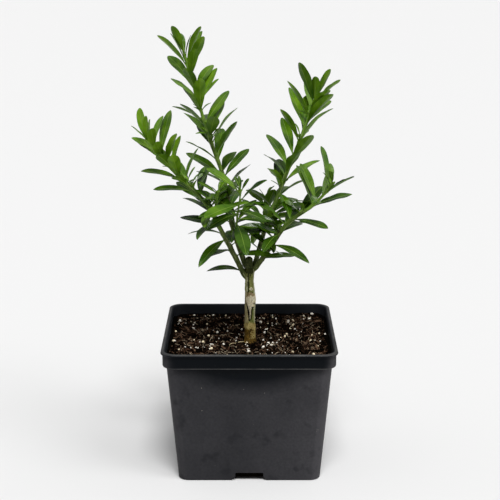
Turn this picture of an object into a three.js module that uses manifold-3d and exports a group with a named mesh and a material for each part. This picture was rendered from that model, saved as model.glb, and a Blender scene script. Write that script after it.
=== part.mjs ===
// A young finger lime tree in a square nursery pot.
// Millimetres, +Z up. The origin is the centre of the pot's flat underside and the front is -Y.

import * as THREE from "three";
import { mergeVertices } from "three/addons/utils/BufferGeometryUtils.js";
import Module from "manifold-3d";

const wasm = await Module();
wasm.setup();

// ---- Driving dimensions ----

const clearance = 0.3; // gap between a piece and its neighbour

const pot = {
  height: 104,
  lipWidth: 131,
  lipCorner: 10,
  beadHeight: 2.2,
  bandWidth: 128.4,
  bandHeight: 9.3,
  ledgeHeight: 0.9,
  bodyTopWidth: 123,
  footWidth: 107.6,
  footCorner: 8,
  footRound: 1.2,
  ledgeStep: 0.6,
  innerLedge: 0.6, // how far the ledge's inner corner lies above the outer one
  mouthBevel: 0.7,
  wall: 1.8,
  floor: 2.2,
  cornerSteps: 5,
};

// The lip's bead, from below: how far each point lies inside the lip, and its share of the height.
const beadOutline = [
  { inset: 0.4, rise: 0.1 },
  { inset: 0, rise: 0.45 },
  { inset: 0.5, rise: 0.85 },
  { inset: 1.4, rise: 1 },
];

// Each side has a drain notch at its foot: it runs inwards under a raised roof, and its mouth
// flares out along the pot's bottom edge.
const notch = {
  width: 21.2,
  height: 6.5,
  flareWidth: 31,
  flareHeight: 3.3,
  flareBend: 3,
  depth: 12,
  roof: 1.6,
};
const drain = { radius: 3.2, inset: 6.5, sides: 12 };
const cutOverhang = 5; // how far a cutting shape sticks out of the surface that it opens

const soil = { level: 93, unevenness: 1.2, edgeRise: 3.2, edgeCalm: 0.6, seatRadius: 9, rings: 6 };
// The waves that make the soil's lumps, in radians for each millimetre across and back.
const soilWave = { across: 0.21, back: 0.17, phase: 1 };
const slantWave = { across: 0.13, back: -0.3, share: 0.6 };

// Heights and radii up the trunk: flared foot, shank, swollen graft union, neck and fork.
const trunkRings = [
  { z: 93, radius: 4.7 },
  { z: 96, radius: 4.35 },
  { z: 101, radius: 4.3 },
  { z: 105, radius: 4.5 },
  { z: 108, radius: 4.2 },
  { z: 115, radius: 3.9 },
  { z: 121, radius: 4.1 },
  { z: 127, radius: 4.2 },
  { z: 131, radius: 4 },
  { z: 136, radius: 3.8 },
  { z: 139, radius: 3.5 },
  { z: 143, radius: 3.3 },
  { z: 148, radius: 3.8 },
  { z: 151, radius: 4 },
  { z: 152.5, radius: 3.1 },
];
const trunkSides = 14;
const trunkFootX = 0.45; // where the trunk's axis leaves the soil
const trunkLean = -0.008; // the axis's travel towards +X for each millimetre of height
const trunkDome = 0.3; // rise of the trunk's top at its middle
const footLobes = { count: 5, depth: 0.06, height: 6 };

const leaderStub = { x: -0.2, foot: 150, top: 161.5, footRadius: 3.3, topRadius: 2.6 };

const limbSides = 8;
const stepsPerShoot = 24;
const stepsPerTwig = 6;
const budLength = 1.6; // the bud that ends each shoot

const leafShape = {
  widthRatio: 0.285,
  rise: 1.15, // the outline's half width follows s^rise * (1 - s)^fall
  fall: 0.78,
  thickness: 0.6,
  stations: [0.3, 0.58, 0.84],
  stemOffset: 0.9, // from the stem's centre line to where the blade starts
};

const growth = {
  lift: 0.5, // how far the leaves' axis turns from the shoot towards the vertical
  spiral: 137.5, // degrees round the shoot from one leaf to the next
  flushLeaves: 3,
  tipStart: 0.965, // where the small leaves at a shoot's tip start
  tipLeaves: 4,
  tipClosing: 0.6,
  curl: 0.14,
  droop: [0.16, 0], // at the fork and at the tip
};

// How far a flush or a leaf may differ from the rule: shares, or degrees for the angles.
const vary = {
  vigour: 0.14,
  opening: 9,
  place: 0.45,
  turn: 28,
  angle: 11,
  length: 0.18,
  width: 0.1,
  curl: 0.7,
  droop: 0.5,
  roll: 22,
};

// A leaf is left out where its midrib comes nearer than this to another stem or to the trunk.
const midribChecks = [0.43, 0.71, 1];
const stemReach = 2.6;
const trunkReach = 6;

const smallestEdge = 0.02; // slivers finer than this, where leaves cross, are merged away

// Each shoot is a bough that carries on as the stem of one mass of foliage. Its path is the
// centre line from the fork to the tip, and the path of a twig starts on its shoot's stem. Angles
// and leaf lengths are given at the two ends. A seed grows one flush of leaves, and the last one
// grows the cluster at the tip.
const shoots = [
  {
    name: "left",
    path: [[-2, 0, 143], [-17, -6, 175], [-33, -13, 206], [-55, -21, 231], [-75, -30, 256]],
    radius: [2.1, 0.8],
    boughEnd: 0.13,
    firstLeaf: 0.15,
    angle: [78, 38],
    leaf: [26, 28],
    tipLeaf: 19,
    seeds: [9678, 42807, 62586, 52284, 50312, 2848, 15587, 1100, 2358, 318, 9602],
    twigs: [
      {
        path: [[-26, -10, 194], [-25, -15, 204], [-23, -20, 216]],
        radius: [0.8, 0.5],
        firstLeaf: 0.3,
        angle: [69, 42],
        leaf: [14, 18],
        tipLeaf: 8,
        seeds: [38678, 19821, 31106],
      },
    ],
  },
  {
    name: "tall",
    path: [[-2, 3, 150], [-13, 4, 185], [-19, 9, 219], [-30, 14, 250], [-40, 20, 282], [-50, 26, 315]],
    radius: [2.1, 0.8],
    boughEnd: 0.15,
    firstLeaf: 0.17,
    angle: [71, 29],
    leaf: [29, 28],
    tipLeaf: 20,
    seeds: [47575, 2680, 30340, 5365, 49334, 64589, 1036, 3015, 21442, 61604, 15553, 39689, 43138],
    twigs: [
      {
        path: [[-11.4, 3.7, 179], [-9.5, -12, 191], [-8, -28, 205], [-6, -43, 222]],
        radius: [0.9, 0.5],
        firstLeaf: 0.2,
        angle: [86, 46],
        leaf: [29, 25],
        tipLeaf: 11,
        seeds: [16974, 33587, 32010, 57607, 51129],
      },
    ],
  },
  {
    name: "upper_right",
    path: [[3, 3, 150], [13, 5, 185], [26, 13, 217], [39, 21, 249], [52, 30, 280]],
    radius: [2, 0.8],
    boughEnd: 0.14,
    firstLeaf: 0.16,
    angle: [64, 32],
    leaf: [28, 29],
    tipLeaf: 21,
    seeds: [4652, 38741, 472, 36829, 45385, 37653, 33816, 7480, 50674, 302, 51139],
    twigs: [
      {
        path: [[9.6, 4.2, 173], [10.5, 18, 180], [11.5, 31, 189], [13, 44, 200]],
        radius: [0.9, 0.5],
        firstLeaf: 0.2,
        angle: [81, 46],
        leaf: [26, 20],
        tipLeaf: 10,
        seeds: [55225, 4061, 11740, 1038],
      },
    ],
  },
  {
    name: "right",
    path: [[2.4, 0, 149], [16, -5, 170], [29, -11, 190], [48, -18, 206], [62, -26, 224]],
    radius: [2, 0.8],
    boughEnd: 0.11,
    firstLeaf: 0.13,
    angle: [83, 47],
    leaf: [27, 29],
    tipLeaf: 14,
    seeds: [28485, 32655, 58722, 63390, 25643, 47221, 31951, 61384, 41788],
    twigs: [],
  },
];

// ---- Helpers ----

const up = new THREE.Vector3(0, 0, 1);
const down = new THREE.Vector3(0, 0, -1);
const mix = (a, b, u) => a + (b - a) * u;
const degrees = (angle) => (angle * Math.PI) / 180;
const vector = ([x, y, z]) => new THREE.Vector3(x, y, z);

// A repeatable stream of numbers from 0 to 1.
function randomStream(seed) {
  let state = seed;
  const next = () => {
    state = (state * 1664525 + 1013904223) % 4294967296;
    return state / 4294967296;
  };
  for (let turn = 0; turn < 3; turn++) next();
  return { next, spread: (reach) => (2 * next() - 1) * reach };
}

// The solid that a closed three.js geometry bounds.
function solidOf(geometry) {
  const bare = new THREE.BufferGeometry();
  bare.setAttribute("position", geometry.getAttribute("position"));
  bare.setIndex(geometry.index);
  const merged = mergeVertices(bare, 1e-3);
  const corners = merged.index.array;
  const kept = [];
  for (let i = 0; i < corners.length; i += 3) {
    const [a, b, c] = corners.subarray(i, i + 3);
    if (a !== b && b !== c && c !== a) kept.push(a, b, c);
  }
  const vertProperties = new Float32Array(merged.getAttribute("position").array);
  const triVerts = new Uint32Array(kept);
  return new wasm.Manifold(new wasm.Mesh({ numProp: 3, vertProperties, triVerts }));
}

function geometryOf(solid) {
  const mesh = solid.getMesh();
  const geometry = new THREE.BufferGeometry();
  geometry.setAttribute("position", new THREE.BufferAttribute(mesh.vertProperties, 3));
  geometry.setIndex(new THREE.BufferAttribute(mesh.triVerts, 1));
  return geometry;
}

// Moves every vertex of a geometry to the point that place(x, y, z, index) gives.
function reshape(geometry, place) {
  const position = geometry.getAttribute("position");
  for (let i = 0; i < position.count; i++) {
    const point = place(position.getX(i), position.getY(i), position.getZ(i), i);
    position.setXYZ(i, point.x, point.y, point.z);
  }
  return geometry;
}

// Where joining leaves seals a pocket or splits off a scrap, only the main body is kept.
function largestBody(solid) {
  const bodies = solid.decompose();
  return bodies.reduce((best, body) => (body.volume() > best.volume() ? body : best));
}

// ---- Pot ----

// A closed profile turned about the vertical axis with each ring squared off to a rounded
// square. An entry of the profile is [half width, height, corner radius], and a fourth value is
// its share of the lumps that lift(x, y) gives.
function squaredLathe(profile, lift = () => 0) {
  const stepsPerCorner = pot.cornerSteps + 1;
  const segments = 4 * stepsPerCorner;
  const outline = profile.map(([half, z]) => new THREE.Vector2(half, z));
  return reshape(new THREE.LatheGeometry(outline, segments), (x, y, z, index) => {
    const [half, height, corner, lumpy = 0] = profile[index % profile.length];
    const step = Math.floor(index / profile.length) % segments;
    const quarter = Math.floor(step / stepsPerCorner);
    const turn = ((quarter + (step % stepsPerCorner) / pot.cornerSteps) * Math.PI) / 2;
    const radius = Math.min(corner, half);
    const sideX = quarter === 0 || quarter === 3 ? 1 : -1;
    const sideY = quarter < 2 ? 1 : -1;
    const px = sideX * (half - radius) + radius * Math.cos(turn);
    const py = sideY * (half - radius) + radius * Math.sin(turn);
    return new THREE.Vector3(px, py, height + lumpy * lift(px, py));
  });
}

const bandTop = pot.height - pot.beadHeight;
const bandFoot = bandTop - pot.bandHeight;
const lipHalf = pot.lipWidth / 2;
const bandHalf = pot.bandWidth / 2;
const bodyHalf = pot.bodyTopWidth / 2;
const footHalf = pot.footWidth / 2;

// The body's outer half width at a height below the band.
const bodyHalfAt = (z) => mix(footHalf, bodyHalf, z / bandFoot);
// The outer corners get rounder in step with the width.
const cornerAt = (half) => mix(pot.footCorner, pot.lipCorner, (half - footHalf) / (lipHalf - footHalf));
const outer = (half, z) => [half, z, cornerAt(half)];
const inner = (half, z) => [half - pot.wall, z, cornerAt(half) - pot.wall];

function potShell() {
  const profile = [
    [0, 0, 0],
    outer(footHalf - pot.footRound, 0),
    outer(bodyHalfAt(pot.footRound), pot.footRound),
    outer(bodyHalf, bandFoot),
    outer(bandHalf - pot.ledgeStep, bandFoot),
    outer(bandHalf, bandFoot + pot.ledgeHeight),
    outer(bandHalf, bandTop),
    ...beadOutline.map(({ inset, rise }) => outer(lipHalf - inset, bandTop + rise * pot.beadHeight)),
    inner(bandHalf + pot.mouthBevel, pot.height),
    inner(bandHalf, pot.height - pot.mouthBevel),
    inner(bandHalf, bandFoot + pot.wall),
    inner(bodyHalf, bandFoot + pot.innerLedge),
    inner(bodyHalfAt(pot.floor), pot.floor),
    [0, pot.floor, 0],
  ];
  return solidOf(squaredLathe(profile));
}

// The space of the notch in one side of the pot's foot, grown by a margin all round.
function notchSpace(side, margin) {
  const half = notch.width / 2 + margin;
  const flareHalf = notch.flareWidth / 2 + margin;
  const flareTop = notch.flareHeight + margin;
  const top = notch.height + margin;
  const shape = new THREE.Shape();
  shape.moveTo(-flareHalf, -cutOverhang);
  shape.lineTo(flareHalf, -cutOverhang);
  shape.lineTo(flareHalf, 0);
  shape.quadraticCurveTo(half + notch.flareBend, 0, half, flareTop);
  shape.lineTo(half, top);
  shape.lineTo(-half, top);
  shape.lineTo(-half, flareTop);
  shape.quadraticCurveTo(-half - notch.flareBend, 0, -flareHalf, 0);
  const reach = notch.depth + margin;
  const options = { depth: reach + cutOverhang, bevelEnabled: false, curveSegments: 4 };
  const space = new THREE.ExtrudeGeometry(shape, options);
  space.rotateX(Math.PI / 2);
  space.translate(0, reach - footHalf, 0);
  space.rotateZ((side * Math.PI) / 2);
  return solidOf(space);
}

// The hole that drains the pot through a notch's roof.
function drainHole(side) {
  const height = 2 * notch.height;
  const hole = new THREE.CylinderGeometry(drain.radius, drain.radius, height, drain.sides);
  hole.rotateX(Math.PI / 2);
  hole.translate(0, drain.inset - footHalf, notch.height);
  hole.rotateZ((side * Math.PI) / 2);
  return solidOf(hole);
}

function potSolid() {
  // The notches' roofs are trimmed half way into the wall and the floor, so that they join them.
  const halfWall = pot.wall / 2;
  const halfFloor = pot.floor / 2;
  const roofSpace = solidOf(squaredLathe([
    [0, halfFloor, 0],
    outer(bodyHalfAt(halfFloor) - halfWall, halfFloor),
    outer(bodyHalf - halfWall, bandFoot - pot.wall),
    [0, bandFoot - pot.wall, 0],
  ]));
  let solid = potShell();
  for (let side = 0; side < 4; side++) {
    solid = solid.add(notchSpace(side, notch.roof).intersect(roofSpace));
  }
  for (let side = 0; side < 4; side++) {
    solid = solid.subtract(notchSpace(side, 0)).subtract(drainHole(side));
  }
  return solid;
}

// ---- Soil ----

// Gentle lumps that die out at the flat seat under the trunk and calm down towards the walls.
function soilLumps(x, y) {
  const fromSeat = Math.max(0, Math.hypot(x, y) - soil.seatRadius);
  const calm = 1 - soil.edgeCalm * (Math.max(Math.abs(x), Math.abs(y)) / bandHalf) ** 3;
  const strength = Math.min(1, fromSeat / soil.seatRadius) * calm * soil.unevenness;
  const lumps = Math.sin(soilWave.across * x + soilWave.phase) * Math.cos(soilWave.back * y);
  const slants = Math.sin(slantWave.across * x + slantWave.back * y);
  return strength * (lumps + slantWave.share * slants);
}

function soilSolid() {
  const seat = soil.level - clearance;
  const within = (half, z) => {
    const [innerHalf, height, corner] = inner(half, z);
    return [innerHalf - clearance, height, corner];
  };
  const floor = pot.floor + clearance;
  const [topHalf, , topCorner] = within(bandHalf, seat);
  const surface = [];
  for (let ring = soil.rings; ring > 0; ring--) {
    const share = ring / soil.rings;
    surface.push([topHalf * share, seat + soil.edgeRise * share ** 3, topCorner * share, 1]);
  }
  const profile = [
    [0, floor, 0],
    within(bodyHalfAt(floor), floor),
    within(bodyHalf, bandFoot + pot.innerLedge),
    within(bandHalf, bandFoot + pot.wall + clearance),
    ...surface,
    [0, seat, 0],
  ];
  let solid = solidOf(squaredLathe(profile, soilLumps));
  for (let side = 0; side < 4; side++) {
    solid = solid.subtract(notchSpace(side, notch.roof + clearance));
  }
  return solid;
}

// ---- Trunk and boughs ----

function trunkSolid(margin) {
  const top = trunkRings[trunkRings.length - 1];
  const foot = trunkRings[0];
  const outline = [new THREE.Vector2(0, foot.z - margin)];
  for (const { z, radius } of trunkRings) {
    const height = z === foot.z ? z - margin : z;
    outline.push(new THREE.Vector2(radius + margin, height));
  }
  outline.push(new THREE.Vector2(0, top.z + trunkDome + margin));
  const bent = reshape(new THREE.LatheGeometry(outline, trunkSides), (x, y, z) => {
    const turn = Math.atan2(x, z);
    const fade = Math.max(0, 1 - (y - foot.z) / footLobes.height);
    const swell = 1 + footLobes.depth * fade * Math.cos(footLobes.count * turn);
    const axis = trunkFootX + trunkLean * (y - foot.z);
    return new THREE.Vector3(z * swell + axis, x * swell, y);
  });
  return solidOf(bent);
}

function stubSolid(margin) {
  const { x, foot, top, footRadius, topRadius } = leaderStub;
  const height = top - foot + margin;
  const stub = new THREE.CylinderGeometry(topRadius + margin, footRadius + margin, height, limbSides);
  stub.rotateX(Math.PI / 2);
  stub.translate(x, 0, foot + height / 2);
  return solidOf(stub);
}

// Two directions that complete a frame with the unit vector along: across stays level with +X.
function frameOf(along) {
  const across = new THREE.Vector3(1, 0, 0).addScaledVector(along, -along.x).normalize();
  return { across, behind: along.clone().cross(across) };
}

// A round limb that tapers along a curve from one share of it to another.
function limbSolid(curve, from, to, radiusAt, steps, tip = 0) {
  const limb = reshape(new THREE.CylinderGeometry(1, 1, 1, limbSides, steps), (x, y, z) => {
    const t = mix(from, to, y + 0.5);
    const along = curve.getTangent(t);
    const { across, behind } = frameOf(along);
    const radius = radiusAt(t);
    const point = curve.getPoint(t).addScaledVector(across, x * radius);
    point.addScaledVector(behind, -z * radius);
    return y > 0.49 ? point.addScaledVector(along, tip) : point;
  });
  return solidOf(limb);
}

// ---- Leaves ----

const outlinePeak = leafShape.rise / (leafShape.rise + leafShape.fall);
const outlineAt = (s) => s ** leafShape.rise * (1 - s) ** leafShape.fall;
const halfWidthAt = (s) => (0.5 * outlineAt(s)) / outlineAt(outlinePeak);

// A blade with a rhombic section: its root is the stem's centre, and it bends away from its
// upper side and droops towards its tip.
function leafSolid(leaf, margin) {
  const stations = [0, ...leafShape.stations, 1];
  const rows = stations.length - 1;
  const side = leaf.along.clone().cross(leaf.face);
  const bend = leaf.face.clone().multiplyScalar(-leaf.curl).addScaledVector(down, leaf.droop);
  const blade = new THREE.SphereGeometry(1, 4, rows);
  const columns = 5;
  reshape(blade, (x, y, z, index) => {
    const row = rows - Math.floor(index / columns);
    const s = stations[row];
    if (row === 0) return leaf.root.clone();
    const point = leaf.base.clone().addScaledVector(leaf.along, s * leaf.length);
    point.addScaledVector(bend, s * s * leaf.length);
    if (row === rows) return point.addScaledVector(leaf.along, margin);
    const ring = Math.hypot(x, z);
    const halfWidth = leaf.width * halfWidthAt(s) + margin;
    point.addScaledVector(side, (x / ring) * halfWidth);
    return point.addScaledVector(leaf.face, (z / ring) * (leafShape.thickness / 2 + margin));
  });
  return solidOf(blade);
}

// ---- Growth ----

// Points along a leaf's midrib, from 0 at its base to 1 at its tip.
function midribPoint(leaf, s) {
  const point = leaf.base.clone().addScaledVector(leaf.along, s * leaf.length);
  point.addScaledVector(leaf.face, -leaf.curl * s * s * leaf.length);
  return point.addScaledVector(down, leaf.droop * s * s * leaf.length);
}

// One leaf on a stem. It opens by an angle from an axis between the stem and the vertical, turned
// round that axis to an azimuth, and its upper side faces the axis.
function makeLeaf(curve, t, azimuth, angle, length, random) {
  const stem = curve.getTangent(t);
  const axis = stem.clone().lerp(up, growth.lift).normalize();
  const { across, behind } = frameOf(axis);
  const outwards = across.multiplyScalar(Math.cos(azimuth)).addScaledVector(behind, Math.sin(azimuth));
  const along = axis.clone().multiplyScalar(Math.cos(angle)).addScaledVector(outwards, Math.sin(angle));
  const level = axis.addScaledVector(along, -along.dot(axis)).normalize();
  const root = curve.getPoint(t);
  const away = along.clone().addScaledVector(stem, -along.dot(stem)).normalize();
  const base = root.clone().addScaledVector(away, leafShape.stemOffset);
  const width = length * leafShape.widthRatio * (1 + random.spread(vary.width));
  const curl = growth.curl * (1 + random.spread(vary.curl));
  const droop = mix(...growth.droop, t) * (1 + random.spread(vary.droop));
  const face = level.applyAxisAngle(along, degrees(random.spread(vary.roll)));
  return { root, base, along, face, length, width, curl, droop };
}

// The leaves of one flush, in a spiral along the stem from one share of it to another.
function flushOf(curve, { from, to, leaves, angle, leaf, closing, seed }) {
  const random = randomStream(seed);
  const phase = 360 * random.next();
  const vigour = 1 + random.spread(vary.vigour);
  const opening = random.spread(vary.opening);
  const count = leaves + (closing === 1 ? Math.floor(3 * random.next()) - 1 : 0);
  return Array.from({ length: count }, (_, k) => {
    const t = mix(from, to, (k + 0.5 + random.spread(vary.place)) / count);
    const azimuth = phase + growth.spiral * k + random.spread(vary.turn);
    const open = closing * (mix(...angle, t) + opening + random.spread(vary.angle));
    const length = mix(...leaf, t) * vigour * (1 + random.spread(vary.length));
    return makeLeaf(curve, t, degrees(azimuth), degrees(open), length, random);
  });
}

function leavesOf(shoot) {
  const { curve } = shoot;
  const flushes = shoot.seeds.length - 1;
  const span = (growth.tipStart - shoot.firstLeaf) / flushes;
  const { angle, leaf, tipLeaf } = shoot;
  return shoot.seeds.flatMap((seed, index) => {
    if (index === flushes) {
      const tip = { from: growth.tipStart, to: 1, leaves: growth.tipLeaves, leaf: [tipLeaf, tipLeaf] };
      return flushOf(curve, { ...tip, angle, closing: growth.tipClosing, seed });
    }
    const from = shoot.firstLeaf + span * index;
    const part = { from, to: from + span, leaves: growth.flushLeaves };
    return flushOf(curve, { ...part, angle, leaf, closing: 1, seed });
  });
}

// ---- Assembly ----

const tree = new THREE.Group();

function addPiece(name, solid, material) {
  const mesh = new THREE.Mesh(geometryOf(solid), material);
  mesh.name = name;
  tree.add(mesh);
}

const finish = (color, roughness) => new THREE.MeshStandardMaterial({ color, roughness, metalness: 0 });

function withCurve(shoot) {
  return { ...shoot, curve: new THREE.CatmullRomCurve3(shoot.path.map(vector), false, "catmullrom", 0.5) };
}

// What grows along one shoot: the bough, the stem that carries it on, its twigs and its leaves.
function planShoot(plain) {
  const shoot = withCurve(plain);
  const twigs = shoot.twigs.map(withCurve);
  const { curve, boughEnd } = shoot;
  const stemStart = boughEnd + clearance / curve.getLength();
  const limb = ({ curve: line, radius }, from, to, steps, margin, tip) => (
    limbSolid(line, from, to, (t) => mix(...radius, t) + margin, steps, tip)
  );
  const boughSteps = Math.ceil(stepsPerShoot * boughEnd);
  return {
    name: shoot.name,
    centres: [shoot, ...twigs].flatMap((stem) => stem.curve.getPoints(stepsPerShoot)),
    leaves: [shoot, ...twigs].flatMap(leavesOf),
    bough: (margin) => limb(shoot, 0, boughEnd, boughSteps, margin, margin),
    stems: (margin) => wasm.Manifold.union([
      limb(shoot, stemStart, 1, stepsPerShoot, margin, budLength),
      ...twigs.map((twig) => limb(twig, 0, 1, stepsPerTwig, margin, budLength / 2)),
    ]),
  };
}

const plans = shoots.map(planShoot);

const trunkFoot = vector([trunkFootX, 0, trunkRings[0].z]);
const stubTop = vector([leaderStub.x, 0, leaderStub.top]);
const trunkCentres = new THREE.LineCurve3(trunkFoot, stubTop).getPoints(stepsPerShoot);

// Whether a leaf's midrib keeps clear of the trunk and of the other shoots' stems.
function keepsClear(leaf, plan) {
  const near = (centres, reach) => midribChecks.some((s) => {
    const point = midribPoint(leaf, s);
    return centres.some((centre) => centre.distanceTo(point) < reach);
  });
  const others = plans.filter((other) => other !== plan);
  return !near(trunkCentres, trunkReach) && !others.some((other) => near(other.centres, stemReach));
}

const bark = { trunk: finish(0x6f6a3c, 0.75), stub: finish(0x4a3a28, 0.85), bough: finish(0x56702c, 0.6) };
const foliage = finish(0x2f6b1c, 0.35);

addPiece("pot", potSolid(), finish(0x2b2d31, 0.45));
addPiece("potting_soil", soilSolid(), finish(0x2c1d14, 0.95));
addPiece("trunk", trunkSolid(0), bark.trunk);

// Each limb is cut back from those before it, so that all stay clear at the fork.
let limbs = trunkSolid(clearance);
addPiece("leader_stub", largestBody(stubSolid(0).subtract(limbs)), bark.stub);
limbs = limbs.add(stubSolid(clearance));
for (const plan of plans) {
  addPiece("bough_" + plan.name, largestBody(plan.bough(0).subtract(limbs)), bark.bough);
  limbs = limbs.add(plan.bough(clearance));
}

// A leaf that would touch a limb or another mass is left out as well.
let grown = limbs;
for (const plan of plans) {
  const others = plans.filter((other) => other !== plan).map((other) => other.stems(clearance));
  const keepOut = wasm.Manifold.union([grown, ...others]);
  const free = (leaf) => keepsClear(leaf, plan) && leafSolid(leaf, 0).intersect(keepOut).isEmpty();
  const leaves = plan.leaves.filter(free);
  const mass = wasm.Manifold.union([plan.stems(0), ...leaves.map((leaf) => leafSolid(leaf, 0))]);
  addPiece("foliage_" + plan.name, largestBody(mass).simplify(smallestEdge), foliage);
  grown = wasm.Manifold.union([grown, ...leaves.map((leaf) => leafSolid(leaf, clearance))]);
}

export default tree;
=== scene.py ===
"""The looks of a young finger lime tree in a square nursery pot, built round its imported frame.

Lengths are worked out in millimetres and turned into metres where a mesh is made. +Z is up and
the front is -Y. Every random draw comes from a seeded stream, so each run gives the same tree.
"""

from collections import namedtuple
from itertools import combinations
from math import cos, hypot, pi, radians, sin, sqrt

import bmesh
import bpy
import numpy as np
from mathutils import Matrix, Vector, noise


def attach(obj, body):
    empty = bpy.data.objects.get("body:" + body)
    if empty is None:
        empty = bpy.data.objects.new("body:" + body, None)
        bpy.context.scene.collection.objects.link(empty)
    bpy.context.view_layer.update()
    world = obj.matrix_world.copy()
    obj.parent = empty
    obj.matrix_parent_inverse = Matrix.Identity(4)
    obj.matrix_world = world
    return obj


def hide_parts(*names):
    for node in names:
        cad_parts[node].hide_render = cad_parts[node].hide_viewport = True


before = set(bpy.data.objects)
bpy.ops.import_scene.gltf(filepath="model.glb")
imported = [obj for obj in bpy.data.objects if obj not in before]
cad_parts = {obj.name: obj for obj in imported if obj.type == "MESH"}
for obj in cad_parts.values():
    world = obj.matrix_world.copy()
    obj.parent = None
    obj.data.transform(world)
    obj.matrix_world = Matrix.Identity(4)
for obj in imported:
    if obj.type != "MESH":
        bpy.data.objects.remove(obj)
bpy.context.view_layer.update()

MM = 0.001
TAU = 2 * pi
UP = np.array([0, 0, 1.0])
DOWN = -UP
BODY = "root"


# ---- Sizes, in millimetres ----

POT_HEIGHT = 104
LIP_HALF = 65.5
LIP_CORNER = 10
BEAD_HEIGHT = 2.2
BAND_HALF = 64.2
BAND_HEIGHT = 9.3
LEDGE_HEIGHT = 0.9
LEDGE_STEP = 0.6
INNER_LEDGE = 0.6
BODY_TOP_HALF = 61.5
FOOT_HALF = 53.8
FOOT_CORNER = 8
FOOT_ROUND = 1.2
WALL = 1.8
FLOOR = 2.2
BAND_TOP = POT_HEIGHT - BEAD_HEIGHT
BAND_FOOT = BAND_TOP - BAND_HEIGHT

NOTCH_HALF = 10.6
NOTCH_HEIGHT = 6.5
NOTCH_FLARE_HALF = 15.5
NOTCH_FLARE_HEIGHT = 3.3
NOTCH_FLARE_BEND = 3
NOTCH_DEPTH = 12
NOTCH_ROOF = 1.6
DRAIN_RADIUS = 3.2
DRAIN_INSET = 6.5

SOIL_LEVEL = 93
SOIL_UNEVENNESS = 1.2
SOIL_EDGE_RISE = 3.2
SOIL_SEAT = 9
CLEARANCE = 0.3

# Heights and radii up the trunk: flared foot, shank, swollen graft union, neck and fork.
TRUNK_RINGS = (
    (93, 4.7), (96, 4.35), (101, 4.3), (105, 4.5), (108, 4.2), (115, 3.9), (121, 4.1), (127, 4.2),
    (131, 4), (136, 3.8), (139, 3.5), (143, 3.3), (148, 3.8), (151, 4), (152.5, 3.1),
)
TRUNK_FOOT_X = 0.45
TRUNK_LEAN = -0.008
STUB_X = -0.2
STUB_FOOT = 150
STUB_TOP = 161.5
STUB_RADII = (3.3, 2.6)

# Growth, as in the part's solids. Pairs give a value at the fork and at the shoot's tip.
LIFT = 0.5
SPIRAL = 137.5
FLUSH_LEAVES = 3
TIP_START = 0.965
TIP_LEAVES = 4
TIP_CLOSING = 0.6
CURL = 0.14
DROOP = (0.16, 0)
WIDTH_RATIO = 0.285
OUTLINE_RISE = 1.15
OUTLINE_FALL = 0.78
STEM_OFFSET = 0.9
MIDRIB_CHECKS = (0.43, 0.71, 1)
STEM_REACH = 2.6
TRUNK_REACH = 6
STEPS_PER_SHOOT = 24
BUD_LENGTH = 1.6

Growth = namedtuple("Growth", "path radius first_leaf angle leaf tip_leaf seeds")
# Each mass of foliage grows from one stem, the first of its list, and the twigs that leave it.
SHOOTS = {
    "left": (
        Growth(((-2, 0, 143), (-17, -6, 175), (-33, -13, 206), (-55, -21, 231), (-75, -30, 256)),
            (2.1, 0.8), 0.15, (78, 38), (26, 28), 19,
            (9678, 42807, 62586, 52284, 50312, 2848, 15587, 1100, 2358, 318, 9602)),
        Growth(((-26, -10, 194), (-25, -15, 204), (-23, -20, 216)),
            (0.8, 0.5), 0.3, (69, 42), (14, 18), 8,
            (38678, 19821, 31106)),
    ),
    "tall": (
        Growth(((-2, 3, 150), (-13, 4, 185), (-19, 9, 219), (-30, 14, 250), (-40, 20, 282),
             (-50, 26, 315)),
            (2.1, 0.8), 0.17, (71, 29), (29, 28), 20,
            (47575, 2680, 30340, 5365, 49334, 64589, 1036, 3015, 21442, 61604, 15553, 39689,
             43138)),
        Growth(((-11.4, 3.7, 179), (-9.5, -12, 191), (-8, -28, 205), (-6, -43, 222)),
            (0.9, 0.5), 0.2, (86, 46), (29, 25), 11,
            (16974, 33587, 32010, 57607, 51129)),
    ),
    "upper_right": (
        Growth(((3, 3, 150), (13, 5, 185), (26, 13, 217), (39, 21, 249), (52, 30, 280)),
            (2, 0.8), 0.16, (64, 32), (28, 29), 21,
            (4652, 38741, 472, 36829, 45385, 37653, 33816, 7480, 50674, 302, 51139)),
        Growth(((9.6, 4.2, 173), (10.5, 18, 180), (11.5, 31, 189), (13, 44, 200)),
            (0.9, 0.5), 0.2, (81, 46), (26, 20), 10,
            (55225, 4061, 11740, 1038)),
    ),
    "right": (
        Growth(((2.4, 0, 149), (16, -5, 170), (29, -11, 190), (48, -18, 206), (62, -26, 224)),
            (2, 0.8), 0.13, (83, 47), (27, 29), 14,
            (28485, 32655, 58722, 63390, 25643, 47221, 31951, 61384, 41788)),
    ),
}


# ---- Numbers and curves ----

def mix(a, b, u):
    return a + (b - a) * u


def unit(v):
    return v / np.linalg.norm(v)


def smooth(low, high, value):
    """0 below low, 1 above high and an S-shaped rise between them."""
    u = np.clip((value - low) / (high - low), 0, 1)
    return u * u * (3 - 2 * u)


def bump(value, centre, width):
    """A bell-shaped rise to 1 round a centre."""
    return np.exp(-(((value - centre) / width) ** 2))


class Stream:
    """A repeatable stream of numbers from 0 to 1, the one that grows the part's solids."""

    def __init__(self, seed):
        self.state = seed
        for _ in range(3):
            self.next()

    def next(self):
        self.state = (self.state * 1664525 + 1013904223) % 4294967296
        return self.state / 4294967296

    def spread(self, reach):
        return (2 * self.next() - 1) * reach

    def between(self, low, high):
        return mix(low, high, self.next())


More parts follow.
